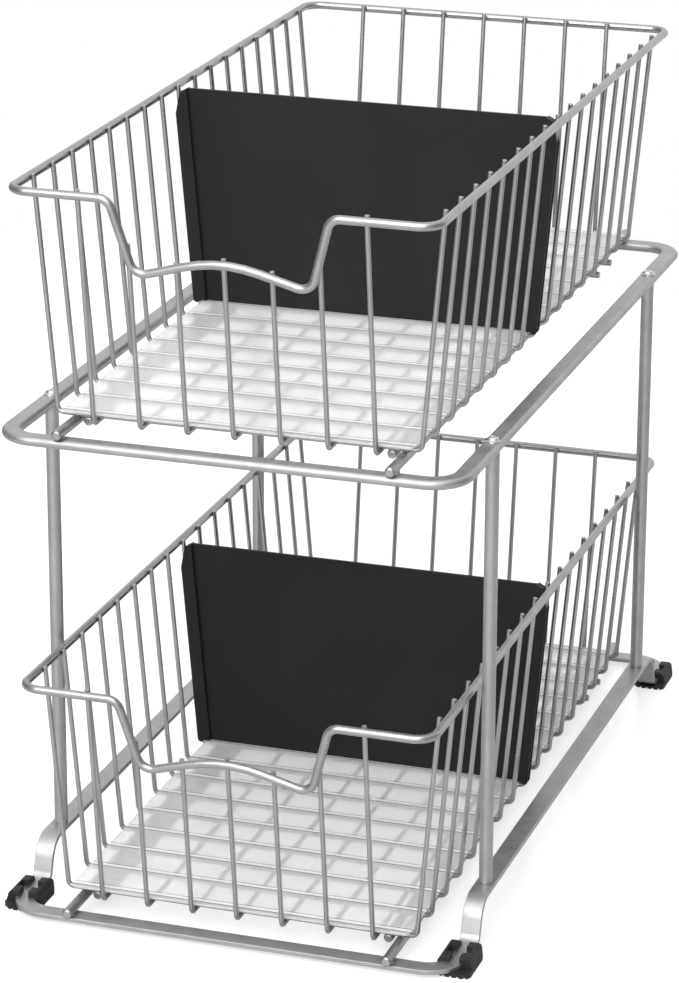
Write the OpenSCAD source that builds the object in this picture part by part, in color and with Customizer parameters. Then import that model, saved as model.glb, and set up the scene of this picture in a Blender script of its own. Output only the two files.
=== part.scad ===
// Two-tier pull-out cabinet basket: a wire frame on four rubber feet carries
// two wire baskets that slide forward on rails. +Z is up and -Y is the front.

/* [Frame] */
// Width between the centre lines of the long side bars
frame_w = 280; // [276:1:300]
// Depth between the centre lines of the top ring's front and rear
ring_d = 529.2; // [526:0.2:540]
// Width of the top ring's bar and of the base strip
bar_w = 12; // [10:0.5:12]
// Thickness of the top ring's flat-oval bar
ring_t = 6; // [5:0.2:6]
// Height of the top ring's upper face above the floor
ring_top = 314.6; // [312:0.2:345]
// Centre-line radius of the rounded corners of ring and base
corner_r = 19; // [16:1:24]
// How far the frame's middle lies behind the middle of the whole
frame_y = 1.2; // [0:0.1:2]

/* [Base strip] */
// Depth between the centre lines of the base's front and rear bars
base_d = 526; // [524:1:536]
// Thickness of the base strip
strip_t = 3; // [2:0.5:3]
// Height of the raised side bars' upper face
side_bar_top = 30; // [28:1:36]
// Distance from the middle at which a side bar starts to drop
drop_start = 200.5; // [199:0.5:202]
// Distance from the middle at which it lies flat again
drop_end = 226; // [226:0.5:228]
// Bend radius at the top of the drop
shoulder_r = 16; // [12:1:16]
// Bend radius at the foot of the drop
toe_r = 8; // [6:1:8]

/* [Posts and rails] */
// Diameter of the four posts
post_d = 8.4; // [8:0.2:9]
// Distance of the posts from the middle
post_y = 187.3; // [180:0.1:190]
// Diameter of the screws' threads
thread_d = 4; // [3:0.5:4]
// Diameter of the clearance holes for the screws
screw_hole_d = 4.4; // [4.2:0.1:4.8]
// Diameter of the rails
rail_d = 6.4; // [5.6:0.2:6.4]
// Distance of the rails from the middle
rail_x = 102.7; // [102:0.1:103]
// Length of the rails
rail_l = 544; // [540:1:546]

/* [Feet] */
// Thickness of a foot's sole under the strip
sole_t = 2.4; // [2.4:0.2:3]
// Width of a foot
foot_w = 24; // [24:1:26]
// Height of a foot
foot_h = 9.4; // [9:0.2:11]
// Length of a foot's grip, over its two fingers
grip_l = 22.8; // [20:0.4:24]
// Reach of the sole to the front of the grip's middle
sole_front = 20.4; // [16:0.2:22]
// Reach of the sole to the rear of the grip's middle
sole_rear = 16.4; // [16:0.2:20]
// Gap between the finger tips over the strip
finger_gap = 6; // [4:0.5:8]
// Gap between the two fingers of a side
finger_split = 8.4; // [4:0.4:10]
// How far the feet are pushed on, as distances from the middle
foot_front_right_y = 241.4; // [238:0.1:246]
foot_front_left_y = 239; // [238:0.1:246]
foot_rear_right_y = 240.5; // [238:0.1:242]
foot_rear_left_y = 240; // [238:0.1:242]

/* [Baskets] */
// How far a closed basket sits in front of the frame's middle
basket_forward = 2.3; // [1:0.1:3]
// Diameter of the basket's wires
wire_d = 3; // [2.6:0.1:3]
// Diameter of the rim's rod
rim_d = 5.2; // [4.6:0.2:5.4]
// Height of the rim's centre line above the rails
basket_h = 143.6; // [125:0.2:144]
// Width of the basket's floor between the side wires' bends
floor_w = 226; // [225:0.5:226]
// Depth of the basket's floor between the end wires' bends
floor_d = 492.8; // [492:0.4:494]
// Outward lean of the sides, in degrees
side_lean = 5; // [4:0.5:5]
// Outward lean of the front and rear, in degrees
end_lean = 7.5; // [6:0.5:8]
// Centre-line radius of the wires' bends
wire_bend_r = 4; // [4:0.5:5]
// Number of wires that run across the basket
cross_count = 17; // [15:2:17]
// Distance between two cross wires
cross_pitch = 29.9; // [28:0.1:29.9]
// Distance between two of the seven long wires
long_pitch = 29.15; // [28:0.05:29.5]
// Centre-line radius of the rim's corners
rim_corner_r = 12; // [10:1:16]
// How far the wires' ends stand above the rim's centre line
wire_poke = 2.4; // [2:0.1:2.6]

/* [Handle notch] */
// Width of the notch in the front rim
notch_w = 134; // [130:1:136]
// Depth of the notch's valleys before they are rounded
notch_h = 47; // [40:1:48]
// Steepness of the notch's sides, in degrees
notch_side = 74.4; // [70:0.2:76]
// Steepness of the hump's flanks, in degrees
hump_side = 16; // [14:1:18]
// Radii of the notch's upper bends, its valleys and its hump
notch_upper_r = 8; // [6:1:9]
notch_valley_r = 9; // [7:1:10]
hump_r = 84; // [70:1:86]

/* [Runners and stops] */
// Diameter of the runner rods under a basket
runner_d = 6; // [5.6:0.2:6]
// Distance of the runner rods from the middle
runner_x = 94.5; // [93:0.5:95]
// Length of the runner rods
runner_l = 478; // [470:2:480]
// Diameter of the stop and guard rods below the rails
stop_d = 4.4; // [4:0.2:4.4]
// Length of the stop and guard rods
stop_l = 215; // [213:1:217]
// Distance of the stop rod behind the basket's middle
stop_y = 185.3; // [180:0.1:186]
// Distance of the guard rod behind the basket's middle
guard_y = 216.9; // [212:0.1:218]

/* [Liner and divider] */
// Thickness of the floor liner
liner_t = 1.2; // [0.8:0.1:1.4]
// Width of the floor liner
liner_w = 219; // [214:1:219]
// Depth of the floor liner
liner_d = 490; // [480:1:490]
// Thickness of the divider's panel
divider_t = 2; // [1.6:0.2:3]
// How far the divider's upper edge stands above the rim's centre line
divider_rise = 0.8; // [0:0.1:2]
// Thickness of the channels at the divider's sides
clip_t = 6.4; // [6:0.2:7]
// How far the channels reach in from the wire's centre line
clip_in = 6.5; // [5:0.5:8]
// How far they reach out past it
clip_out = 2.2; // [2:0.1:2.3]
// Height of the cut at the channels' upper ends
clip_drop = 16.4; // [12:0.2:20]

/* [Hidden] */
$fn = 48;
hair = 0.005;
collar_l = 0.2;
steel_seam = 1.01;
gap = 0.3;
screw_grip = 12;
TIERS = ["lower", "upper"];
LONG_WIRES = 7;

base_top = sole_t + strip_t;
tier_z = [base_top + rail_d, ring_top + rail_d];
basket_y = frame_y - basket_forward;
wire_r = wire_d / 2;

cross_z = gap + wire_r;
long_z = gap - wire_r;
runner_z = gap - runner_d / 2;
stop_z = -rail_d - gap - stop_d / 2;
liner_z = 2 * gap + wire_d;
divider_z = liner_z + liner_t + gap;

// Distance from a wire's centre line to the rim's, which touches it
weld_reach = wire_r + rim_d / 2;

// Length of a leaning wire from its floor corner to the rim's height
function leg_reach(z0, lean) = (basket_h - z0 + weld_reach * sin(lean)) / cos(lean);

// Distance of the rim's centre line from the middle, for a floor corner at c0
function rim_reach(c0, z0, lean) =
    round(100 * (c0 + leg_reach(z0, lean) * sin(lean) + weld_reach * cos(lean))) / 100;

rim_x = rim_reach(floor_w / 2, cross_z, side_lean);
rim_y = rim_reach(floor_d / 2, long_z, end_lean);

// Distance from a corner to where a bend of radius r and angle a starts
function setback(r, a) = r * tan(a / 2);

notch_foot = notch_w / 2 - notch_h / tan(notch_side);
hump_corner = notch_h - notch_foot * tan(hump_side);
hump_top = hump_corner + hump_r * (1 / cos(hump_side) - 1);
hump_reach = hump_r * sin(hump_side);

// Depth of the rim's centre line below its level stretch, at a place x
function rim_drop(x) =
    abs(x) < hump_reach ? hump_top + hump_r - sqrt(pow(hump_r, 2) - pow(x, 2))
    : abs(x) < notch_foot ? hump_corner + abs(x) * tan(hump_side)
    : max(0, (notch_w / 2 - abs(x)) * tan(notch_side));

// The side bar's drop: two bends with a straight stretch between them
drop_h = side_bar_top - base_top;
drop_len = drop_end - drop_start;
bend_sum = shoulder_r + toe_r;
drop_straight = sqrt(pow(drop_len, 2) + pow(bend_sum - drop_h, 2) - pow(bend_sum, 2));
drop_angle = atan2(drop_len, bend_sum - drop_h) - atan2(drop_straight, bend_sum);

// Sweeps a flat shape along a path that leaves the origin along +Z. A step is
// [length], or [radius, angle, side] for a bend towards that side of the shape.
// With a seam, short collars that much larger join each straight stretch to
// its neighbours, the way a weld does.
module sweep(path, i = 0, seam = 1) {
    if (i < len(path)) {
        step = path[i];
        if (len(step) == 1) {
            union() {
                linear_extrude(step[0]) children();
                if (seam > 1)
                    for (z = i < len(path) - 1 ? [0, step[0]] : [0])
                        translate([0, 0, z - collar_l / 2]) linear_extrude(collar_l) scale(seam) children();
            }
            translate([0, 0, step[0]]) sweep(path, i + 1, seam) children();
        } else {
            r = step[0];
            a = step[1];
            rotate(step[2]) {
                translate([r, 0, 0]) rotate([90, 0, 0]) rotate(180 - a)
                    rotate_extrude(angle = a) translate([r, 0]) rotate(180 - step[2]) children();
                translate([r, 0, 0]) rotate([0, a, 0]) translate([-r, 0, 0])
                    rotate(-step[2]) sweep(path, i + 1, seam) children();
            }
        }
    }
}

// Draws its children and their mirror images across the x = 0 plane
module both_sides() {
    children();
    mirror([1, 0, 0]) children();
}

// Draws its children and their mirror images across the y = 0 plane
module both_ends() {
    children();
    mirror([0, 1, 0]) children();
}

// The section of the flat-oval bar
module flat_oval(w, t) {
    square([w - t, t], center = true);
    for (s = [-1, 1])
        translate([s * (w - t) / 2, 0]) circle(d = t);
}

// A rod of length l along +Z with its two ends rounded off
module rounded_rod(l, d) {
    edge = d / 4;
    rotate_extrude() {
        square([d / 2 - edge, l]);
        translate([0, edge]) square([d / 2, l - 2 * edge]);
        for (z = [edge, l - edge])
            translate([d / 2 - edge, z]) circle(edge);
    }
}

module in_frame() translate([0, frame_y, 0]) children();

// A quarter of a ring starts at the middle of its front and runs to the right.
// Its section stands with the bar's width across the path, level.
module ring_front() rotate([0, 90, 0]) rotate(90) children();

module top_ring() color("darkgray") in_frame() difference() {
    path = [
        [frame_w / 2 - corner_r],
        [corner_r, 90, 0],
        [ring_d / 2 - corner_r + hair]
    ];
    translate([0, 0, ring_top - ring_t / 2]) both_sides() both_ends()
        translate([0, -ring_d / 2, 0]) ring_front() sweep(path) flat_oval(bar_w, ring_t);
    both_sides() both_ends()
        translate([frame_w / 2, post_y, ring_top - 2 * ring_t])
            cylinder(d = screw_hole_d, h = 3 * ring_t);
}

module base_strip() {
    path = [
        [frame_w / 2 - corner_r],
        [corner_r, 90, 0],
        [base_d / 2 - corner_r - drop_end],
        [toe_r, drop_angle, 90],
        [drop_straight],
        [shoulder_r, drop_angle, -90],
        [drop_start + hair]
    ];
    translate([0, 0, sole_t + strip_t / 2]) both_sides() both_ends()
        translate([0, -base_d / 2, 0]) ring_front()
            sweep(path, seam = steel_seam) square([bar_w, strip_t], center = true);
}

module base_ring() color("darkgray") in_frame() difference() {
    base_strip();
    both_sides() both_ends()
        translate([frame_w / 2, post_y, side_bar_top - 2 * strip_t])
            cylinder(d = screw_hole_d, h = 3 * strip_t);
}

// sx and sy are the signs of the corner that a post or foot stands in
module post(sx, sy) color("silver") in_frame() {
    top = ring_top - ring_t;
    thread_l = 14;
    translate([sx * frame_w / 2, sy * post_y, 0]) difference() {
        translate([0, 0, side_bar_top]) cylinder(d = post_d, h = top - side_bar_top);
        for (z = [side_bar_top, top])
            translate([0, 0, z - thread_l]) cylinder(d = thread_d, h = 2 * thread_l);
    }
}

// A pan-head screw: its flange's underside is at z = 0 and it points down. A
// head is [flange diameter, flange thickness, head diameter, head height].
module screw(head, l) {
    flange_d = head[0];
    flange_t = head[1];
    head_d = head[2];
    head_h = head[3];
    slot_w = 1;
    difference() {
        union() {
            cylinder(d = flange_d, h = flange_t);
            translate([0, 0, flange_t]) cylinder(d = head_d, h = head_h);
            translate([0, 0, -l]) cylinder(d = thread_d, h = l);
        }
        for (a = [0, 90])
            rotate(a) translate([-head_d * 0.3, -slot_w / 2, flange_t + head_h * 0.3])
                cube([head_d * 0.6, slot_w, head_h]);
    }
}

module top_screws() color("silver") in_frame() both_sides() both_ends() {
    head = [9.6, 0.9, 7.4, 1.8];
    translate([frame_w / 2, post_y, ring_top]) screw(head, ring_t + screw_grip);
}

module base_screws() color("silver") in_frame() both_sides() both_ends() {
    head = [8.4, 0.8, 6.8, 1.6];
    translate([frame_w / 2, post_y, side_bar_top - strip_t]) mirror([0, 0, 1])
        screw(head, strip_t + screw_grip);
}

// Level outline of a foot, with one squarer corner at the front right
module foot_outline() {
    side = foot_w / 2;
    r = 9;
    square_r = 4.5;
    polygon([
        [side - square_r, -sole_front], [side, square_r - sole_front],
        [side, sole_rear - r], [side - r, sole_rear],
        [r - side, sole_rear], [-side, sole_rear - r],
        [-side, r - sole_front], [r - side, -sole_front]
    ]);
    translate([side - square_r, square_r - sole_front]) circle(square_r);
    translate([r - side, r - sole_front]) circle(r);
    for (x = [-1, 1])
        translate([x * (side - r), sole_rear - r]) circle(r);
}

// A foot seen from its end: domed above, and open between the finger tips
module foot_end_view() {
    side = foot_w / 2;
    lip = 1.2;
    dome_r = 5;
    dome_x = side - lip - dome_r;
    dome_z = foot_h - dome_r;
    difference() {
        union() {
            polygon([
                [-side, 0], [side, 0], [side, lip], [side - lip, dome_z], [dome_x, foot_h],
                [-dome_x, foot_h], [lip - side, dome_z], [-side, lip]
            ]);
            for (x = [-1, 1])
                translate([x * dome_x, dome_z]) circle(dome_r);
        }
        translate([-finger_gap / 2, sole_t]) square([finger_gap, foot_h]);
    }
}

// A foot seen from its right: the sole runs out to the front under the grip,
// whose rear is domed
module foot_side_view() {
    lip = 1.2;
    rear_r = 4;
    front_r = 1.2;
    rear_y = grip_l / 2 - 1;
    grip_front = -grip_l / 2;
    polygon([
        [-sole_front, 0], [sole_rear, 0], [sole_rear, lip], [rear_y + rear_r, foot_h - rear_r],
        [rear_y, foot_h], [grip_front + front_r, foot_h], [grip_front, foot_h - front_r],
        [grip_front, sole_t], [-sole_front, sole_t]
    ]);
    translate([rear_y, foot_h - rear_r]) circle(rear_r);
    translate([grip_front + front_r, foot_h - front_r]) circle(front_r);
}

// The gap between the two fingers of each side
module finger_notch() {
    notch_l = 14.4;
    translate([0, 0, base_top + foot_h / 2]) cube([notch_l, finger_split, foot_h], center = true);
}

// The rubber foot grips the strip with two fingers on each side. All four come
// from one mould and point the same way.
module foot(sx, sy, y) color("#2d2d2d") in_frame() difference() {
    reach = 2 * foot_w;
    translate([sx * frame_w / 2, sy * y, 0]) difference() {
        intersection() {
            linear_extrude(foot_h) foot_outline();
            translate([0, reach, 0]) rotate([90, 0, 0]) linear_extrude(2 * reach) foot_end_view();
            translate([-reach, 0, 0]) rotate([90, 0, 90]) linear_extrude(2 * reach) foot_side_view();
        }
        finger_notch();
    }
    base_strip();
}

module rail(tier, sx) color("silver") in_frame()
    translate([sx * rail_x, rail_l / 2, tier_z[tier] - rail_d / 2]) rotate([90, 0, 0])
        rounded_rod(rail_l, rail_d);

module in_basket(tier) translate([0, basket_y, tier_z[tier]]) children();

// The rim is one rod: from the middle of the rear to the right and round to
// the front, down and up through the notch with its hump, and back. The notch
// lies in the leaning plane of the front wires.
module rim(tier) color("darkgray") in_basket(tier) {
    turn = notch_side + hump_side;
    upper_back = setback(notch_upper_r, notch_side);
    valley_back = setback(notch_valley_r, turn);
    down = -end_lean;
    up = 180 - end_lean;
    half = [
        [rim_x - rim_corner_r],
        [rim_corner_r, 90, -90],
        [2 * (rim_y - rim_corner_r)],
        [rim_corner_r, 90, -90],
        [rim_x - rim_corner_r - notch_w / 2 - upper_back],
        [notch_upper_r, notch_side, down],
        [notch_h / sin(notch_side) - upper_back - valley_back],
        [notch_valley_r, turn, up],
        [notch_foot / cos(hump_side) - valley_back - setback(hump_r, 2 * hump_side)]
    ];
    way_back = [for (i = [len(half) - 1 : -1 : 0]) half[i]];
    translate([0, rim_y, basket_h]) rotate([0, 90, 0])
        sweep(concat(half, [[hump_r, 2 * hump_side, down]], way_back), seam = steel_seam) circle(d = rim_d);
}

// Half of a wire: from the middle of the floor, round the bend and up the leg
module wire_half(floor_half, lean, leg_l) {
    bend = 90 - lean;
    back = setback(wire_bend_r, bend);
    path = [
        [floor_half - back],
        [wire_bend_r, bend, 180],
        [leg_l - back]
    ];
    rotate([0, 90, 0]) sweep(path, seam = steel_seam) circle(d = wire_d);
}

module cross_wires(tier) color("silver") in_basket(tier)
    for (i = [0 : cross_count - 1])
        translate([0, (i - (cross_count - 1) / 2) * cross_pitch, cross_z]) both_sides()
            wire_half(floor_w / 2, side_lean, leg_reach(cross_z, side_lean) + wire_poke);

module long_wire(tier, k) color("silver") in_basket(tier) {
    x = (k - (LONG_WIRES + 1) / 2) * long_pitch;
    leg_l = leg_reach(long_z, end_lean) + wire_poke;
    translate([x, 0, long_z]) rotate(-90) {
        wire_half(floor_d / 2, end_lean, leg_l - rim_drop(x));
        mirror([1, 0, 0]) wire_half(floor_d / 2, end_lean, leg_l);
    }
}

module runner(tier, sx) color("silver") in_basket(tier)
    translate([sx * runner_x, runner_l / 2, runner_z]) rotate([90, 0, 0])
        rounded_rod(runner_l, runner_d);

// A rod across the basket below the rails, with a weld bead under each runner
module low_rod(tier, y) color("silver") in_basket(tier) translate([0, y, stop_z]) {
    bead_d = 3;
    translate([-stop_l / 2, 0, 0]) rotate([0, 90, 0]) cylinder(d = stop_d, h = stop_l);
    both_sides()
        translate([runner_x, 0, 0]) cylinder(d = bead_d, h = runner_z - runner_d / 2 - stop_z);
}

module liner(tier) color("whitesmoke") in_basket(tier) translate([0, 0, liner_z])
    linear_extrude(liner_t) {
        liner_r = 4;
        square([liner_w, liner_d - 2 * liner_r], center = true);
        square([liner_w - 2 * liner_r, liner_d], center = true);
        for (x = [-1, 1], y = [-1, 1])
            translate([x * (liner_w / 2 - liner_r), y * (liner_d / 2 - liner_r)]) circle(liner_r);
    }

// Places its children on the right middle wire: Z runs up the leaning wire, X outward
module on_middle_wire() translate([floor_w / 2, 0, cross_z]) rotate([0, side_lean, 0]) children();

// Distance of the middle wire's centre line from the basket's middle at a height z
function wire_x(z) = floor_w / 2 + (z - cross_z) * tan(side_lean);

// A slab of the divider's outline, t thick, in the plane of the middle wire
module divider_slab(t) {
    top = basket_h + divider_rise;
    clip_top = top - clip_drop;
    corner_drop = 2.4;
    corner_z = top - corner_drop;
    right = [
        [wire_x(divider_z) + clip_out, divider_z],
        [wire_x(clip_top) + clip_out, clip_top],
        [wire_x(corner_z) - wire_r - gap, corner_z],
        [wire_x(top) - clip_in, top]
    ];
    left = [for (i = [len(right) - 1 : -1 : 0]) [-right[i][0], right[i][1]]];
    translate([0, t / 2, 0]) rotate([90, 0, 0]) linear_extrude(t) polygon(concat(right, left));
}

// The divider: a panel between the middle wires, with a channel at each side
// that takes the leaning wire from within and is open outward
module divider(tier) color("#262626") in_basket(tier) {
    slot_r = wire_r + gap;
    tab_r = 2.2;
    tab_drop = 1.6;
    difference() {
        union() {
            divider_slab(divider_t);
            intersection() {
                divider_slab(clip_t);
                both_sides() on_middle_wire() translate([-clip_in, -clip_t, -basket_h])
                    cube([clip_in + 2 * clip_out, 2 * clip_t, 3 * basket_h]);
            }
            both_sides() translate([floor_w / 2 + gap, clip_t / 2, divider_z - tab_drop + tab_r])
                rotate([90, 0, 0]) cylinder(r = tab_r, h = clip_t);
        }
        both_sides() {
            on_middle_wire() {
                cylinder(r = slot_r, h = 2 * basket_h);
                translate([0, -slot_r, 0]) cube([clip_in, 2 * slot_r, 2 * basket_h]);
            }
            translate([floor_w / 2 - slot_r - gap, -slot_r, 0])
                cube([clip_in, 2 * slot_r, divider_z + wire_bend_r / 2]);
        }
    }
}

top_ring();
base_ring();
top_screws();
base_screws();
post(-1, -1);  // post_front_left
post(1, -1);  // post_front_right
post(-1, 1);  // post_rear_left
post(1, 1);  // post_rear_right
foot(-1, -1, foot_front_left_y);  // foot_front_left
foot(1, -1, foot_front_right_y);  // foot_front_right
foot(-1, 1, foot_rear_left_y);  // foot_rear_left
foot(1, 1, foot_rear_right_y);  // foot_rear_right
for (t = [0 : len(TIERS) - 1]) {
    rail(t, -1);
    rail(t, 1);
    rim(t);
    cross_wires(t);
    runner(t, -1);
    runner(t, 1);
    low_rod(t, stop_y);
    low_rod(t, guard_y);
    liner(t);
    divider(t);
    for (k = [1 : LONG_WIRES])
        long_wire(t, k);
}
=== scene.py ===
"""Two-tier pull-out cabinet basket: plated steel frame and wire baskets, rubber
feet, clear floor liners and black plastic dividers."""
import math

import bmesh
import bpy
from mathutils import Matrix, Vector


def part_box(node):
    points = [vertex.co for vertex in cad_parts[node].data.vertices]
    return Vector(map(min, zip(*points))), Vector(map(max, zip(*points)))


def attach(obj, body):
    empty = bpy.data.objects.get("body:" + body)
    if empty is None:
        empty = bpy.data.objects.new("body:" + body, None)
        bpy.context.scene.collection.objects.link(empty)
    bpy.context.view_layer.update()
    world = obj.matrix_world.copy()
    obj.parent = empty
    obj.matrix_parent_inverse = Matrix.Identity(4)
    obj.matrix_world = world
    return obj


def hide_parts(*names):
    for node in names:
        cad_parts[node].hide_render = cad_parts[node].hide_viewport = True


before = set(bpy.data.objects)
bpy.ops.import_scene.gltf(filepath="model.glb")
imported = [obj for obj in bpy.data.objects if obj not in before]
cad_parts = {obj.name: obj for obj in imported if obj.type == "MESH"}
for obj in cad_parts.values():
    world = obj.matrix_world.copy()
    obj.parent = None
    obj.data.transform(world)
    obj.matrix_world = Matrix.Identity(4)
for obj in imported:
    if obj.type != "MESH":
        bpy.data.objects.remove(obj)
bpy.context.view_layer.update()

MM = 0.001
RIGHT_ANGLE = math.pi / 2
TIERS = ["lower", "upper"]
CORNERS = ["front_left", "front_right", "rear_left", "rear_right"]

# Stock sizes of the bars, rods and wires
BAR_W = 12 * MM
RING_T = 6 * MM
STRIP_T = 3 * MM
STRIP_EDGE = 0.5 * MM
POST_D = 8.4 * MM
RAIL_D = 6.4 * MM
RUNNER_D = 6 * MM
LOW_ROD_D = 4.4 * MM
RIM_D = 5.2 * MM
WIRE_D = 3 * MM

# Bends of the frame
CORNER_R = 19 * MM
SHOULDER_R = 16 * MM
TOE_R = 8 * MM
SIDE_BAR_TOP = 30 * MM
DROP_START = 200.5 * MM
DROP_END = 226 * MM

# Bends of the baskets
LONG_WIRES = 7
CROSS_WIRES = 17
WIRE_BEND_R = 4 * MM
SIDE_LEAN = math.radians(5)
END_LEAN = math.radians(7.5)
RIM_CORNER_R = 12 * MM
NOTCH_W = 134 * MM
NOTCH_H = 47 * MM
NOTCH_SIDE = math.radians(74.4)
HUMP_SIDE = math.radians(16)
NOTCH_UPPER_R = 8 * MM
NOTCH_VALLEY_R = 9 * MM
HUMP_R = 84 * MM
NOTCH_FOOT = NOTCH_W / 2 - NOTCH_H / math.tan(NOTCH_SIDE)

# Screws: width and thickness of the flange, width and height of the head
RING_SCREW = (9.6 * MM, 0.9 * MM, 7.4 * MM, 1.8 * MM)
BASE_SCREW = (8.4 * MM, 0.8 * MM, 6.8 * MM, 1.6 * MM)

# Facets round each section
RING_SIDES = 32
STRIP_SIDES = 16
POST_SIDES = 32
ROD_SIDES = 24
LOW_ROD_SIDES = 20
WIRE_SIDES = 14
SCREW_SIDES = 32

# Points nearer than this are merged where a ring, a rim or a copy closes
RING_SEAM = 0.01 * MM
RIM_SEAM = 0.02 * MM
COPY_SEAM = 0.002 * MM
SHARP_ANGLE = math.radians(35)


# ---------------------------------------------------------------- materials

def hex_colour(text):
    """An sRGB hex value as the linear colour that a shader takes."""
    channels = [int(text[i:i + 2], 16) / 255 for i in (1, 3, 5)]
    linear = [c / 12.92 if c <= 0.04045 else ((c + 0.055) / 1.055) ** 2.4 for c in channels]
    return (*linear, 1.0)


def add_node(tree, kind, inputs=None, **settings):
    """Adds one shader node, with its settings and its input values or links."""
    made = tree.nodes.new(kind)
    for name, value in settings.items():
        setattr(made, name, value)
    for name, value in (inputs or {}).items():
        if isinstance(value, bpy.types.NodeSocket):
            tree.links.new(value, made.inputs[name])
        else:
            made.inputs[name].default_value = value
    return made


def new_material(name):
    """An empty node material: its tree, its shader and its Object coordinates."""
    material = bpy.data.materials.new(name)
    material.use_nodes = True
    tree = material.node_tree
    shader = tree.nodes["Principled BSDF"]
    place = add_node(tree, "ShaderNodeTexCoord").outputs["Object"]
    return material, tree, shader, place


def varied(tree, place, size, low, high, detail=2.0, stretch=(1, 1, 1)):
    """A value that wanders between low and high over patches of about size."""
    noise_low = 0.3
    noise_high = 0.7
    turned = add_node(tree, "ShaderNodeMapping", {"Vector": place, "Scale": stretch})
    noise = add_node(tree, "ShaderNodeTexNoise",
                     {"Vector": turned.outputs[0], "Scale": 1 / size, "Detail": detail})
    spread = add_node(tree, "ShaderNodeMapRange",
                      {"Value": noise.outputs[0], "From Min": noise_low, "From Max": noise_high,
                       "To Min": low, "To Max": high})
    return spread.outputs[0]


def plated_steel(name, dark, light, roughness, draw_marks):
    """Mild steel, drawn and barrel-plated: a soft mirror with faint long marks
    and slightly duller patches where it was handled."""
    material, tree, shader, place = new_material(name)
    patch_size = 18 * MM
    handled_size = 6 * MM
    # Draw marks are far finer than this; they are drawn coarse enough to show
    mark_w = 0.9 * MM
    mark_depth = 0.003 * MM
    patches = varied(tree, place, patch_size, 0.0, 1.0)
    tone = add_node(tree, "ShaderNodeMix",
                    {"Factor": patches, "A": hex_colour(dark), "B": hex_colour(light)},
                    data_type="RGBA")
    tree.links.new(tone.outputs["Result"], shader.inputs["Base Color"])
    shader.inputs["Metallic"].default_value = 1.0
    dull = varied(tree, place, handled_size, roughness * 0.85, roughness * 1.2)
    tree.links.new(dull, shader.inputs["Roughness"])
    marks = varied(tree, place, mark_w, 0.0, 1.0, 3.0, draw_marks)
    bump = add_node(tree, "ShaderNodeBump",
                    {"Height": marks, "Distance": mark_depth, "Strength": 1.0})
    tree.links.new(bump.outputs[0], shader.inputs["Normal"])
    return material


def moulded_rubber():
    """EPDM rubber out of a steel mould: dull, nearly black, with a fine tooth."""
    material, tree, shader, place = new_material("moulded_rubber")
    patch_size = 4 * MM
    tooth_size = 0.5 * MM
    tooth_depth = 0.04 * MM
    patches = varied(tree, place, patch_size, 0.0, 1.0)
    tone = add_node(tree, "ShaderNodeMix",
                    {"Factor": patches, "A": hex_colour("#1c1c1d"), "B": hex_colour("#29292a")},
                    data_type="RGBA")
    tree.links.new(tone.outputs["Result"], shader.inputs["Base Color"])
    shader.inputs["Roughness"].default_value = 0.55
    shader.inputs["IOR"].default_value = 1.4
    tooth = varied(tree, place, tooth_size, 0.0, 1.0, 4.0)
    bump = add_node(tree, "ShaderNodeBump",
                    {"Height": tooth, "Distance": tooth_depth, "Strength": 1.0})
    tree.links.new(bump.outputs[0], shader.inputs["Normal"])
    return material


def moulded_polypropylene():
    """Injection-moulded polypropylene with a spark-eroded face: black and even,
    with a soft sheen and a grain of about half a millimetre."""
    material, tree, shader, place = new_material("moulded_polypropylene")
    patch_size = 60 * MM
    sheen_size = 12 * MM
    grain_size = 0.6 * MM
    grain_depth = 0.02 * MM
    patches = varied(tree, place, patch_size, 0.0, 1.0)
    tone = add_node(tree, "ShaderNodeMix",
                    {"Factor": patches, "A": hex_colour("#1a1a1b"), "B": hex_colour("#202021")},
                    data_type="RGBA")
    tree.links.new(tone.outputs["Result"], shader.inputs["Base Color"])
    sheen = varied(tree, place, sheen_size, 0.42, 0.50)
    tree.links.new(sheen, shader.inputs["Roughness"])
    shader.inputs["IOR"].default_value = 1.3
    grain = varied(tree, place, grain_size, 0.0, 1.0, 4.0)
    bump = add_node(tree, "ShaderNodeBump",
                    {"Height": grain, "Distance": grain_depth, "Strength": 1.0})
    tree.links.new(bump.outputs[0], shader.inputs["Normal"])
    return material


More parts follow.
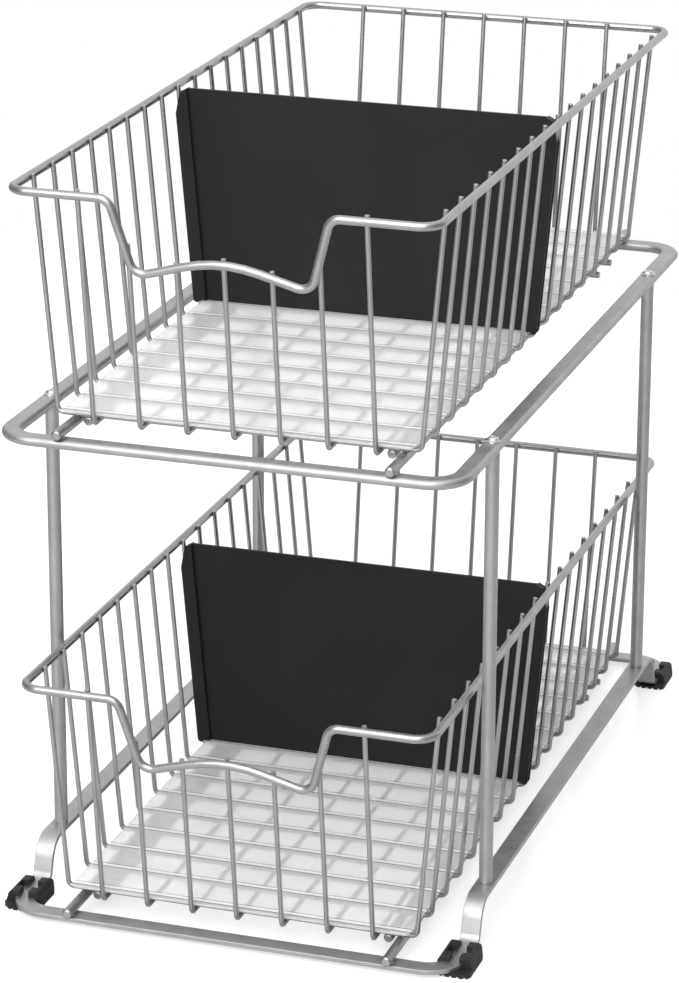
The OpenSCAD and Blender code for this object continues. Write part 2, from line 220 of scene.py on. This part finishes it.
def frosted_sheet(wires_from, wire_pitch):
    """Extruded polypropylene sheet, frosted: what lies below it blurs into pale
    bands. Over each cross wire that it rests on, a white painted highlight is
    put into its colour for the wire's lit top seen through it, with less light
    let through there, and a thin grey painted shade on each side for the
    wire's shaded edges. The wires stand at wires_from and every wire_pitch
    from there, along Y."""
    material, tree, shader, place = new_material("frosted_sheet")
    # Painted highlight: a white line over each cross wire, for the wire's lit top seen through
    # the sheet. Painted shade: a grey band on each side of it, for the wire's shaded edges.
    painted_highlight_from, painted_highlight_to = 0.4 * WIRE_D, 0.5 * WIRE_D
    painted_shade_from, painted_shade_to = 0.7 * WIRE_D, 0.95 * WIRE_D
    tone_size = 40 * MM
    frost_size = 25 * MM
    clear_between = 0.62
    clear_on_painted_highlight = 0.1
    y = add_node(tree, "ShaderNodeSeparateXYZ", {"Vector": place}).outputs["Y"]
    shifted = add_node(tree, "ShaderNodeMath", {0: y, 1: wires_from}, operation="SUBTRACT")
    off = add_node(tree, "ShaderNodeMath", {0: shifted.outputs[0], 1: wire_pitch / 2},
                   operation="PINGPONG").outputs[0]
    # Painted highlight mask: 1 over the middle of each cross wire, 0 away from it
    line = add_node(tree, "ShaderNodeMapRange",
                    {"Value": off, "From Min": painted_highlight_from, "From Max": painted_highlight_to,
                     "To Min": 1.0, "To Max": 0.0}).outputs[0]
    # Painted shade mask: 0 on the grey band beside each cross wire, 1 further out
    beside = add_node(tree, "ShaderNodeMapRange",
                      {"Value": off, "From Min": painted_shade_from, "From Max": painted_shade_to,
                       "To Min": 0.0, "To Max": 1.0}).outputs[0]
    patches = varied(tree, place, tone_size, 0.0, 1.0)
    sheet = add_node(tree, "ShaderNodeMix",
                     {"Factor": patches, "A": hex_colour("#fcfdfd"), "B": hex_colour("#ffffff")},
                     data_type="RGBA").outputs["Result"]
    sheet_with_painted_shade = add_node(tree, "ShaderNodeMix",
                     {"Factor": beside, "A": hex_colour("#aeaeae"), "B": sheet},
                     data_type="RGBA").outputs["Result"]
    sheet_with_painted_highlight = add_node(tree, "ShaderNodeMix",
                      {"Factor": line, "A": sheet_with_painted_shade, "B": hex_colour("#fbfbfb")},
                      data_type="RGBA").outputs["Result"]
    tree.links.new(sheet_with_painted_highlight, shader.inputs["Base Color"])
    # Less light is let through on the painted highlight, so the real wire below is hidden there
    clear = add_node(tree, "ShaderNodeMapRange",
                     {"Value": line, "To Min": clear_between, "To Max": clear_on_painted_highlight})
    tree.links.new(clear.outputs[0], shader.inputs["Transmission Weight"])
    shader.inputs["IOR"].default_value = 1.2
    frost = varied(tree, place, frost_size, 0.17, 0.20)
    tree.links.new(frost, shader.inputs["Roughness"])
    return material


def cross_wire_pitch(lo, hi):
    """From one cross wire to the next, from the box of all of them."""
    return (hi.y - lo.y - WIRE_D) / (CROSS_WIRES - 1)


STEEL_BAR = plated_steel("plated_steel_bar", "#b0b0b2", "#bababb", 0.45, (1, 1, 8))
STEEL_WIRE = plated_steel("plated_steel_wire", "#a8a8aa", "#b2b2b3", 0.32, (1, 1, 1))
STEEL_SCREW = plated_steel("plated_steel_screw", "#d4d4d5", "#dededf", 0.16, (1, 1, 1))
RUBBER = moulded_rubber()
BLACK_PLASTIC = moulded_polypropylene()
wires_lo, wires_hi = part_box("lower_cross_wires")
FROSTED_SHEET = frosted_sheet(wires_lo.y + WIRE_D / 2, cross_wire_pitch(wires_lo, wires_hi))


# ------------------------------------------------------------------- meshes

def split_loop(geometry):
    """The vertices of some new geometry, and the edges that join only them."""
    verts = [g for g in geometry if isinstance(g, bmesh.types.BMVert)]
    own = set(verts)
    edges = [g for g in geometry if isinstance(g, bmesh.types.BMEdge) and own.issuperset(g.verts)]
    return verts, edges


def bar_section(bm, width, thickness, edge_r, count, place):
    """A closed loop with rounded edges: a bar's section, across place's +Z."""
    verts = bmesh.ops.create_circle(bm, segments=count, radius=edge_r)["verts"]
    bmesh.ops.rotate(bm, verts=verts, cent=(0, 0, 0),
                     matrix=Matrix.Rotation(math.pi / count, 3, "Z"))
    for v in verts:
        v.co.x += math.copysign(width / 2 - edge_r, v.co.x)
        v.co.y += math.copysign(thickness / 2 - edge_r, v.co.y)
    bmesh.ops.transform(bm, matrix=place, verts=verts)
    edges = list({e for v in verts for e in v.link_edges})
    return verts, edges


def round_section(bm, diameter, count, place):
    """A round loop: a rod's section."""
    return bar_section(bm, diameter, diameter, diameter / 2, count, place)


def push_on(bm, loop, vector):
    """Extrudes a loop by a vector and returns the new loop."""
    verts, edges = split_loop(bmesh.ops.extrude_edge_only(bm, edges=loop[1])["geom"])
    bmesh.ops.translate(bm, verts=verts, vec=vector)
    return verts, edges


def sweep(bm, loop, place, path):
    """Carries a loop along a path from place, which looks along its +Z. A step
    is (length,), or (radius, angle, side) for a bend towards that side."""
    facet = math.radians(7)
    fewest_steps = 3
    for step in path:
        heading = place.col[2].xyz
        if len(step) == 1:
            loop = push_on(bm, loop, heading * step[0])
            place = Matrix.Translation(heading * step[0]) @ place
        else:
            radius, angle, side = step
            towards = place.to_3x3() @ Vector((math.cos(side), math.sin(side), 0))
            centre = place.translation + towards * radius
            axis = heading.cross(towards)
            spun = bmesh.ops.spin(bm, geom=loop[0] + loop[1], cent=centre, axis=axis,
                                  angle=angle, steps=max(fewest_steps, round(angle / facet)),
                                  use_duplicate=False)
            loop = split_loop(spun["geom_last"])
            about = Matrix.Translation(centre)
            place = about @ Matrix.Rotation(angle, 4, axis) @ about.inverted() @ place
    return loop, place


def close_end(bm, loop, place, outward, edge_r, radius):
    """Rounds off and closes the end of a rod of that radius."""
    rounds = 3
    heading = place.col[2].xyz * outward
    size = radius
    for k in range(1, rounds + 1):
        turn = RIGHT_ANGLE * k / rounds
        before = RIGHT_ANGLE * (k - 1) / rounds
        loop = push_on(bm, loop, heading * edge_r * (math.sin(turn) - math.sin(before)))
        middle = sum((v.co for v in loop[0]), Vector()) / len(loop[0])
        new_size = radius - edge_r * (1 - math.cos(turn))
        bmesh.ops.scale(bm, verts=loop[0], vec=(new_size / size,) * 3,
                        space=Matrix.Translation(-middle))
        size = new_size
    bmesh.ops.edgeloop_fill(bm, edges=loop[1])


def add_rod(bm, diameter, place, path, edge_r, count):
    """A round rod along a path, with both its ends rounded off by edge_r."""
    start = place @ Matrix.Translation((0, 0, edge_r))
    first = round_section(bm, diameter, count, start)
    short = [list(step) for step in path]
    short[0][0] -= edge_r
    short[-1][0] -= edge_r
    last, end = sweep(bm, first, start, short)
    close_end(bm, first, start, -1, edge_r, diameter / 2)
    close_end(bm, last, end, 1, edge_r, diameter / 2)


def facing(origin, heading, across):
    """A place at origin whose +Z is heading and whose +X is across."""
    z = Vector(heading).normalized()
    x = Vector(across).normalized()
    y = z.cross(x)
    turn = Matrix((x, y, z)).transposed().to_4x4()
    return Matrix.Translation(origin) @ turn


def add_piece(name, bm, body, material, replaced):
    """Makes the mesh an object on a CAD body, in place of those CAD nodes. Wide
    faces keep their own normals, so that flats stay flat beside round edges."""
    bmesh.ops.recalc_face_normals(bm, faces=bm.faces)
    mesh = bpy.data.meshes.new(name)
    bm.to_mesh(mesh)
    bm.free()
    mesh.materials.append(material)
    mesh.shade_smooth()
    mesh.set_sharp_from_angle(angle=SHARP_ANGLE)
    piece = bpy.data.objects.new(name, mesh)
    bpy.context.scene.collection.objects.link(piece)
    flats = piece.modifiers.new("flat_faces", "WEIGHTED_NORMAL")
    flats.keep_sharp = True
    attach(piece, body)
    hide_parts(*replaced)
    return piece


def copied_node(node):
    """A CAD node's mesh as a bmesh of clean, merged faces."""
    bm = bmesh.new()
    bm.from_mesh(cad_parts[node].data)
    bmesh.ops.remove_doubles(bm, verts=bm.verts, dist=COPY_SEAM)
    flat = math.radians(1)
    bmesh.ops.dissolve_limit(bm, angle_limit=flat, verts=bm.verts, edges=bm.edges)
    return bm


def soften_edges(bm, width, angle, segments=2):
    """Rounds every edge that is sharper than the angle, in degrees."""
    least = math.radians(angle)
    sharp = [e for e in bm.edges if e.is_manifold and e.calc_face_angle(0) > least]
    bmesh.ops.bevel(bm, geom=sharp, offset=width, offset_type="OFFSET", affect="EDGES",
                    segments=segments, profile=0.5, material=-1, clamp_overlap=True)


def add_bead(bm, centre, size, across=(1, 0, 0)):
    """A small weld: a flattened ball of that size, its first axis along across."""
    turn = Vector((1, 0, 0)).rotation_difference(Vector(across)).to_matrix().to_4x4()
    place = Matrix.Translation(centre) @ turn @ Matrix.Diagonal((*size, 1))
    bmesh.ops.create_icosphere(bm, subdivisions=2, radius=0.5, matrix=place)


# -------------------------------------------------------------------- frame

def make_top_ring():
    """The flat-oval bar, bent from the middle of its front round to there."""
    lo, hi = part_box("top_ring")
    half_x = hi.x - BAR_W / 2
    half_y = (hi.y - lo.y - BAR_W) / 2
    half_front = (half_x - CORNER_R,)
    side = (2 * (half_y - CORNER_R),)
    corner = (CORNER_R, RIGHT_ANGLE, 0)
    rear = (2 * half_front[0],)
    path = [half_front, corner, side, corner, rear, corner, side, corner, half_front]
    bm = bmesh.new()
    start = facing((0, lo.y + BAR_W / 2, hi.z - RING_T / 2), (1, 0, 0), (0, 1, 0))
    loop = bar_section(bm, BAR_W, RING_T, RING_T / 2, RING_SIDES, start)
    sweep(bm, loop, start, path)
    bmesh.ops.remove_doubles(bm, verts=bm.verts, dist=RING_SEAM)
    add_piece("flat_oval_ring", bm, "frame", STEEL_BAR, ["top_ring"])


def make_base_ring():
    """The flat strip, bent from the middle of its front round to there. Each
    side rises over a toe, a slope and a shoulder, and falls again the same way."""
    lo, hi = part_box("base_ring")
    drop_h = SIDE_BAR_TOP - lo.z - STRIP_T
    drop_l = DROP_END - DROP_START
    radii = SHOULDER_R + TOE_R
    sloped = math.sqrt(drop_l ** 2 + (radii - drop_h) ** 2 - radii ** 2)
    angle = math.atan2(drop_l, radii - drop_h) - math.atan2(sloped, radii)
    half_x = hi.x - BAR_W / 2
    half_y = (hi.y - lo.y - BAR_W) / 2
    half_front = (half_x - CORNER_R,)
    corner = (CORNER_R, RIGHT_ANGLE, 0)
    flat = (half_y - CORNER_R - DROP_END,)
    toe = (TOE_R, angle, RIGHT_ANGLE)
    shoulder = (SHOULDER_R, angle, -RIGHT_ANGLE)
    rise = [flat, toe, (sloped,), shoulder]
    side = [*rise, (2 * DROP_START,), *rise[::-1]]
    rear = (2 * half_front[0],)
    path = [half_front, corner, *side, corner, rear, corner, *side, corner, half_front]
    bm = bmesh.new()
    start = facing((0, lo.y + BAR_W / 2, lo.z + STRIP_T / 2), (1, 0, 0), (0, 1, 0))
    loop = bar_section(bm, BAR_W, STRIP_T, STRIP_EDGE, STRIP_SIDES, start)
    sweep(bm, loop, start, path)
    bmesh.ops.remove_doubles(bm, verts=bm.verts, dist=RING_SEAM)
    add_piece("base_strip_ring", bm, "frame", STEEL_BAR, ["base_ring"])


def make_post(corner):
    """A round post between a side bar and the ring, its ends slightly rounded."""
    end_r = 0.3 * MM
    lo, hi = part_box("post_" + corner)
    middle = (lo + hi) / 2
    bm = bmesh.new()
    start = facing((middle.x, middle.y, lo.z), (0, 0, 1), (1, 0, 0))
    add_rod(bm, POST_D, start, [(hi.z - lo.z,)], end_r, POST_SIDES)
    add_piece(f"post_tube_{corner}", bm, "frame", STEEL_BAR, [f"post_{corner}"])


def add_screw_head(bm, place, flange_d, flange_t, head_d, head_h):
    """A domed pan head on a washer-like flange."""
    edge = 0.2 * MM
    # Each point's share of the head's radius and of its height
    dome = [(0, 1), (0.30, 0.98), (0.62, 0.86), (0.86, 0.58), (0.98, 0.2), (1.0, 0)]
    rim = flange_d / 2
    points = [(r * head_d / 2, flange_t + h * head_h) for r, h in dome]
    points += [(rim - edge, flange_t), (rim, flange_t - edge), (rim, 0), (0, 0)]
    made = [bm.verts.new(place @ Vector((r, 0, z))) for r, z in points]
    edges = [bm.edges.new(pair) for pair in zip(made, made[1:])]
    bmesh.ops.spin(bm, geom=made + edges, cent=place.translation, axis=place.col[2].xyz,
                   angle=2 * math.pi, steps=SCREW_SIDES, use_merge=True, use_duplicate=False)
    bmesh.ops.remove_doubles(bm, verts=bm.verts, dist=COPY_SEAM)


def cut_away(piece, cutters):
    """Cuts a mesh of closed blocks out of a piece and leaves its edges sharp."""
    mesh = bpy.data.meshes.new("cutter")
    cutters.to_mesh(mesh)
    cutters.free()
    block = bpy.data.objects.new("cutter", mesh)
    bpy.context.scene.collection.objects.link(block)
    cut = piece.modifiers.new("cut", "BOOLEAN")
    cut.object = block
    cut.solver = "EXACT"
    cut.use_self = True
    bpy.context.view_layer.update()
    graph = bpy.context.evaluated_depsgraph_get()
    piece.data = bpy.data.meshes.new_from_object(piece.evaluated_get(graph))
    piece.modifiers.remove(cut)
    piece.data.set_sharp_from_angle(angle=SHARP_ANGLE)
    bpy.data.objects.remove(block)


def cut_recess(screw, places, arm_l, arm_w, top_z, depth):
    """Cuts the tapered cross recess of each screw head."""
    taper = 0.45
    bm = bmesh.new()
    for place in places:
        for turn in (0, RIGHT_ANGLE):
            size = Matrix.Diagonal((arm_l, arm_w, 2 * depth, 1))
            spot = place @ Matrix.Translation((0, 0, top_z)) @ Matrix.Rotation(turn, 4, "Z")
            cube = bmesh.ops.create_cube(bm, size=1, matrix=spot @ size)["verts"]
            low = sorted(cube, key=lambda v: (place.inverted() @ v.co).z)[:4]
            middle = spot.translation
            bmesh.ops.scale(bm, verts=low, vec=(taper, taper, 1),
                            space=Matrix.Translation(-middle))
    cut_away(screw, bm)


def make_screws(node, outward, head, seat_z):
    """The four screws of the ring or the base, with their heads at seat_z."""
    flange_d, flange_t, head_d, head_h = head
    recess_l = 0.62 * head_d
    recess_w = 1.0 * MM
    recess_depth = 0.9 * MM
    lo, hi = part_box(node)
    reach = (hi - lo) / 2 - Vector((flange_d, flange_d, 0)) / 2
    middle = (lo + hi) / 2
    places = []
    bm = bmesh.new()
    for sx in (-1, 1):
        for sy in (-1, 1):
            spot = (middle.x + sx * reach.x, middle.y + sy * reach.y, seat_z)
            places.append(facing(spot, (0, 0, outward), (1, 0, 0)))
            add_screw_head(bm, places[-1], *head)
    screw = add_piece(node + "_heads", bm, "frame", STEEL_SCREW, [node])
    cut_recess(screw, places, recess_l, recess_w, flange_t + head_h, recess_depth)


def make_foot(corner):
    """A clip-on rubber foot, with rounded edges and ridges under its sole."""
    node = f"foot_{corner}"
    edge_w = 1.0 * MM
    lo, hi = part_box(node)
    bm = copied_node(node)
    soften_edges(bm, edge_w, 35, 3)
    foot = add_piece(f"rubber_{node}", bm, "frame", RUBBER, [node])
    # Grooves across the sole's width leave ridges that run from front to rear
    pitch = 4.35 * MM
    groove_w = 1.5 * MM
    groove_h = 0.9 * MM
    count = 5
    middle = (lo + hi) / 2
    grooves = bmesh.new()
    for k in range(count):
        x = middle.x + (k - (count - 1) / 2) * pitch
        size = Matrix.Diagonal((groove_w, 2 * (hi.y - lo.y), 2 * groove_h, 1))
        spot = Matrix.Translation((x, middle.y, lo.z))
        bmesh.ops.create_cube(grooves, size=1, matrix=spot @ size)
    cut_away(foot, grooves)


def make_rail(tier, side):
    """A rail on the front and rear bars, with a short weld on each side of it
    at both places."""
    node = f"{tier}_rail_{side}"
    weld = (5 * MM, 1.6 * MM, 1.8 * MM)
    weld_out = RAIL_D * 0.36
    weld_up = 0.6 * MM
    lo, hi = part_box(node)
    middle = (lo + hi) / 2
    bm = bmesh.new()
    start = facing((middle.x, lo.y, middle.z), (0, 1, 0), (1, 0, 0))
    add_rod(bm, RAIL_D, start, [(hi.y - lo.y,)], RAIL_D / 4, ROD_SIDES)
    for y in (lo.y + BAR_W / 2, hi.y - BAR_W / 2):
        for sx in (-1, 1):
            add_bead(bm, (middle.x + sx * weld_out, y, lo.z + weld_up), weld, (0, 1, 0))
    add_piece(f"{node}_rod", bm, "frame", STEEL_WIRE, [node])


# ------------------------------------------------------------------ baskets

def set_back(radius, angle):
    """From a corner to where a bend of that radius and angle starts."""
    return radius * math.tan(angle / 2)


def rim_path(half_x, half_y):
    """The rim's way round from the middle of its rear, to the right: the front
    dips through the notch, over its hump, in the plane of the front wires."""
    turn = NOTCH_SIDE + HUMP_SIDE
    upper = set_back(NOTCH_UPPER_R, NOTCH_SIDE)
    valley = set_back(NOTCH_VALLEY_R, turn)
    flank = NOTCH_FOOT / math.cos(HUMP_SIDE) - valley - set_back(HUMP_R, 2 * HUMP_SIDE)
    down = -END_LEAN
    corner = (RIM_CORNER_R, RIGHT_ANGLE, -RIGHT_ANGLE)
    half = [
        (half_x - RIM_CORNER_R,), corner, (2 * (half_y - RIM_CORNER_R),), corner,
        (half_x - RIM_CORNER_R - NOTCH_W / 2 - upper,),
        (NOTCH_UPPER_R, NOTCH_SIDE, down),
        (NOTCH_H / math.sin(NOTCH_SIDE) - upper - valley,),
        (NOTCH_VALLEY_R, turn, math.pi + down),
        (flank,)
    ]
    return half + [(HUMP_R, 2 * HUMP_SIDE, down)] + half[::-1]


def make_rim(tier):
    """The rim rod, bent from the middle of its rear round to there."""
    node = f"{tier}_rim"
    lo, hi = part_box(node)
    half_x = (hi.x - lo.x - RIM_D) / 2
    half_y = (hi.y - lo.y - RIM_D) / 2
    bm = bmesh.new()
    start = facing((0, hi.y - RIM_D / 2, hi.z - RIM_D / 2), (1, 0, 0), (0, 0, -1))
    loop = round_section(bm, RIM_D, ROD_SIDES, start)
    sweep(bm, loop, start, rim_path(half_x, half_y))
    bmesh.ops.remove_doubles(bm, verts=bm.verts, dist=RIM_SEAM)
    add_piece(f"{tier}_rim_rod", bm, f"{tier}_basket", STEEL_WIRE, [node])


def add_wire(bm, middle, along, floor_half, lean, leg_from, leg_to):
    """A wire bent up at both ends: a leg, the floor and the other leg. The legs'
    lengths run from the floor's corners."""
    end_r = 0.35 * MM
    bend = RIGHT_ANGLE - lean
    back = set_back(WIRE_BEND_R, bend)
    up = Vector((0, 0, 1))
    along = Vector(along)
    leg_dir = up * math.cos(lean) - along * math.sin(lean)
    foot = Vector(middle) - along * floor_half
    start = facing(foot + leg_dir * leg_from, -leg_dir, up.cross(along))
    path = [
        (leg_from - back,), (WIRE_BEND_R, bend, RIGHT_ANGLE), (2 * (floor_half - back),),
        (WIRE_BEND_R, bend, RIGHT_ANGLE), (leg_to - back,)
    ]
    add_rod(bm, WIRE_D, start, path, end_r, WIRE_SIDES)


def make_cross_wires(tier):
    """The wires across the basket, which are its sides too."""
    node = f"{tier}_cross_wires"
    lo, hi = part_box(node)
    z = lo.z + WIRE_D / 2
    height = hi.z - z - WIRE_D / 2 * math.sin(SIDE_LEAN)
    leg = height / math.cos(SIDE_LEAN)
    floor_half = hi.x - leg * math.sin(SIDE_LEAN) - WIRE_D / 2 * math.cos(SIDE_LEAN)
    first = lo.y + WIRE_D / 2
    pitch = cross_wire_pitch(lo, hi)
    bm = bmesh.new()
    for i in range(CROSS_WIRES):
        add_wire(bm, (0, first + i * pitch, z), (1, 0, 0), floor_half, SIDE_LEAN, leg, leg)
    add_piece(f"{tier}_side_wires", bm, f"{tier}_basket", STEEL_WIRE, [node])


def rim_drop(x):
    """Depth of the rim below its level stretch, at a place x."""
    corner = NOTCH_H - NOTCH_FOOT * math.tan(HUMP_SIDE)
    top = corner + HUMP_R * (1 / math.cos(HUMP_SIDE) - 1)
    if abs(x) < HUMP_R * math.sin(HUMP_SIDE):
        return top + HUMP_R - math.sqrt(HUMP_R ** 2 - x ** 2)
    if abs(x) < NOTCH_FOOT:
        return corner + abs(x) * math.tan(HUMP_SIDE)
    return max(0.0, (NOTCH_W / 2 - abs(x)) * math.tan(NOTCH_SIDE))


def make_long_wires(tier):
    """The wires from front to rear, each ended at the rim above it."""
    nodes = [f"{tier}_long_wire_{k}" for k in range(1, LONG_WIRES + 1)]
    cross_lo, cross_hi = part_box(f"{tier}_cross_wires")
    y = (cross_lo.y + cross_hi.y) / 2
    bm = bmesh.new()
    for node in nodes:
        lo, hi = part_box(node)
        x = (lo.x + hi.x) / 2
        z = lo.z + WIRE_D / 2
        leg = (hi.z - z - WIRE_D / 2 * math.sin(END_LEAN)) / math.cos(END_LEAN)
        reach = leg * math.sin(END_LEAN) + WIRE_D / 2 * math.cos(END_LEAN)
        floor_half = hi.y - reach - y
        add_wire(bm, (x, y, z), (0, 1, 0), floor_half, END_LEAN, leg - rim_drop(x), leg)
    add_piece(f"{tier}_end_wires", bm, f"{tier}_basket", STEEL_WIRE, nodes)


def make_under_rods(tier):
    """The two runner rods, and the stop and guard rods welded under them."""
    runners = [f"{tier}_runner_left", f"{tier}_runner_right"]
    low_rods = [f"{tier}_stop_rod", f"{tier}_guard_rod"]
    weld = (4 * MM, 3.4 * MM, 2.4 * MM)
    end_r = 0.5 * MM
    bm = bmesh.new()
    for node in runners:
        lo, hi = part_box(node)
        start = facing(((lo.x + hi.x) / 2, lo.y, (lo.z + hi.z) / 2), (0, 1, 0), (1, 0, 0))
        add_rod(bm, RUNNER_D, start, [(hi.y - lo.y,)], RUNNER_D / 4, ROD_SIDES)
    runner_lo, runner_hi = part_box(runners[1])
    runner_x = (runner_lo.x + runner_hi.x) / 2
    for node in low_rods:
        lo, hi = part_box(node)
        y = (lo.y + hi.y) / 2
        start = facing((lo.x, y, lo.z + LOW_ROD_D / 2), (1, 0, 0), (0, 1, 0))
        add_rod(bm, LOW_ROD_D, start, [(hi.x - lo.x,)], end_r, LOW_ROD_SIDES)
        for x in (-runner_x, runner_x):
            add_bead(bm, (x, y, runner_lo.z), weld)
    add_piece(f"{tier}_under_rods", bm, f"{tier}_basket", STEEL_WIRE,
              runners + low_rods)


def make_liner(tier):
    """The loose floor sheet, with its cut edges slightly rounded."""
    node = f"{tier}_liner"
    edge_w = 0.25 * MM
    bm = copied_node(node)
    soften_edges(bm, edge_w, 60)
    add_piece(f"{tier}_floor_sheet", bm, f"{tier}_liner_body", FROSTED_SHEET,
              [node])


def make_divider(tier):
    """The loose black divider, with moulded, rounded edges."""
    node = f"{tier}_divider"
    edge_w = 0.35 * MM
    bm = copied_node(node)
    soften_edges(bm, edge_w, 35)
    add_piece(f"{tier}_divider_panel", bm, f"{tier}_divider_body",
              BLACK_PLASTIC, [node])


make_top_ring()
make_base_ring()
for corner in CORNERS:
    make_post(corner)
    make_foot(corner)
ring_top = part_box("top_ring")[1].z
make_screws("top_screws", 1, RING_SCREW, ring_top)
make_screws("base_screws", -1, BASE_SCREW, SIDE_BAR_TOP - STRIP_T)
for tier in TIERS:
    make_rail(tier, "left")
    make_rail(tier, "right")
    make_rim(tier)
    make_cross_wires(tier)
    make_long_wires(tier)
    make_under_rods(tier)
    make_liner(tier)
    make_divider(tier)


# -------------------------------------------------- floor, lamps and camera

def seen_directly(tree, kinds):
    """1 for the rays of those kinds, such as the camera's, and 0 for others."""
    ray = add_node(tree, "ShaderNodeLightPath")
    seen = ray.outputs[kinds[0]]
    for kind in kinds[1:]:
        seen = add_node(tree, "ShaderNodeMath", {0: seen, 1: ray.outputs[kind]},
                        operation="MAXIMUM").outputs[0]
    return seen


def make_floor():
    """A glossy white table, long to the front and narrow. To the camera and
    through plastic it adds light of its own, so its shadows are pale; metal
    mirrors a part of that light."""
    table_w = 2.4
    table_rear = 1.2
    table_front = -4.0
    own_light = 0.62
    metal_share = 0.25
    bm = bmesh.new()
    bmesh.ops.create_grid(bm, x_segments=1, y_segments=1, size=0.5)
    bmesh.ops.scale(bm, verts=bm.verts, vec=(table_w, table_rear - table_front, 1))
    bmesh.ops.translate(bm, verts=bm.verts, vec=(0, (table_rear + table_front) / 2, 0))
    mesh = bpy.data.meshes.new("studio_table")
    bm.to_mesh(mesh)
    bm.free()
    floor = bpy.data.objects.new("studio_table", mesh)
    bpy.context.scene.collection.objects.link(floor)
    material, tree, shader, _ = new_material("white_acrylic_table")
    shader.inputs["Base Color"].default_value = hex_colour("#bababa")
    shader.inputs["Roughness"].default_value = 0.2
    shader.inputs["Emission Color"].default_value = hex_colour("#ffffff")
    seen = seen_directly(tree, ["Is Camera Ray", "Is Transmission Ray"])
    mirrored = seen_directly(tree, ["Is Glossy Ray"])
    in_metal = add_node(tree, "ShaderNodeMath", {0: mirrored, 1: metal_share},
                        operation="MULTIPLY").outputs[0]
    share = add_node(tree, "ShaderNodeMath", {0: seen, 1: in_metal},
                     operation="MAXIMUM").outputs[0]
    glow = add_node(tree, "ShaderNodeMath", {0: share, 1: own_light}, operation="MULTIPLY")
    tree.links.new(glow.outputs[0], shader.inputs["Emission Strength"])
    mesh.materials.append(material)


def make_world():
    """A studio with pale walls in front and behind and darker ones at the
    sides, which draw a dark line along each edge of a wire. The camera and
    what it sees through plastic have a white background."""
    front_tone = 0.95
    side_tone = 0.35
    sides_from = 0.45
    sides_to = 0.85
    world = bpy.data.worlds.new("studio")
    bpy.context.scene.world = world
    world.use_nodes = True
    tree = world.node_tree
    background = tree.nodes["Background"]
    direction = add_node(tree, "ShaderNodeTexCoord").outputs["Generated"]
    across = add_node(tree, "ShaderNodeSeparateXYZ", {"Vector": direction}).outputs["X"]
    aside = add_node(tree, "ShaderNodeMath", {0: across}, operation="ABSOLUTE").outputs[0]
    wall = add_node(tree, "ShaderNodeMapRange",
                    {"Value": aside, "From Min": sides_from, "From Max": sides_to,
                     "To Min": front_tone, "To Max": side_tone}).outputs[0]
    seen = seen_directly(tree, ["Is Camera Ray", "Is Transmission Ray"])
    tone = add_node(tree, "ShaderNodeMapRange", {"Value": seen, "To Min": wall, "To Max": 1.0})
    tree.links.new(tone.outputs[0], background.inputs["Strength"])
    background.inputs["Color"].default_value = (1, 1, 1, 1)


def add_softbox(name, spot, aim, width, height, radiance):
    """A large soft lamp, in metres; its power follows from its size and from
    how bright it looks."""
    lamp = bpy.data.lights.new(name, "AREA")
    lamp.shape = "RECTANGLE"
    lamp.size = width
    lamp.size_y = height
    lamp.energy = radiance * width * height * math.pi
    box = bpy.data.objects.new(name, lamp)
    box.location = spot
    box.rotation_mode = "QUATERNION"
    box.rotation_quaternion = (Vector(aim) - Vector(spot)).to_track_quat("-Z", "Y")
    bpy.context.scene.collection.objects.link(box)


def make_camera():
    """The camera looks down at the object from the front right. Its aim is off
    the middle of the frame by a few centimetres, across and down."""
    image_h = 983
    focal_px = 3832.7
    sensor = 36
    ring_y = 1.2 * MM
    aim_drop = 3.34 * MM
    azimuth = math.radians(18.312)
    elevation = math.radians(19.254)
    roll = math.radians(0.171)
    distance = 2.4633
    aim_right = -0.01643
    aim_up = -0.10012
    ring_middle = Vector((0, ring_y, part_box("top_ring")[1].z - aim_drop))
    back = Vector((math.sin(azimuth) * math.cos(elevation),
                   -math.cos(azimuth) * math.cos(elevation), math.sin(elevation)))
    level_right = (-back).cross(Vector((0, 0, 1))).normalized()
    level_up = level_right.cross(-back)
    right = level_right * math.cos(roll) + level_up * math.sin(roll)
    up = level_up * math.cos(roll) - level_right * math.sin(roll)
    spot = ring_middle + back * distance + right * aim_right + up * aim_up
    lens = bpy.data.cameras.new("camera")
    lens.sensor_fit = "VERTICAL"
    lens.sensor_height = sensor
    lens.sensor_width = sensor
    lens.lens = focal_px / image_h * sensor
    lens.clip_end = 100
    camera = bpy.data.objects.new("camera", lens)
    turn = Matrix((right, up, back)).transposed().to_4x4()
    camera.matrix_world = Matrix.Translation(spot) @ turn
    bpy.context.scene.collection.objects.link(camera)
    bpy.context.scene.camera = camera


make_floor()
make_world()
add_softbox("front_softbox", spot=(-0.2, -2.6, 2.0), aim=(0, 0, 0.2),
            width=3.0, height=2.4, radiance=3.0)
add_softbox("top_softbox", spot=(0, -1.0, 3.2), aim=(0, 0, 0.2),
            width=2.4, height=1.4, radiance=2.0)
make_camera()
bpy.context.scene.view_settings.view_transform = "Standard"
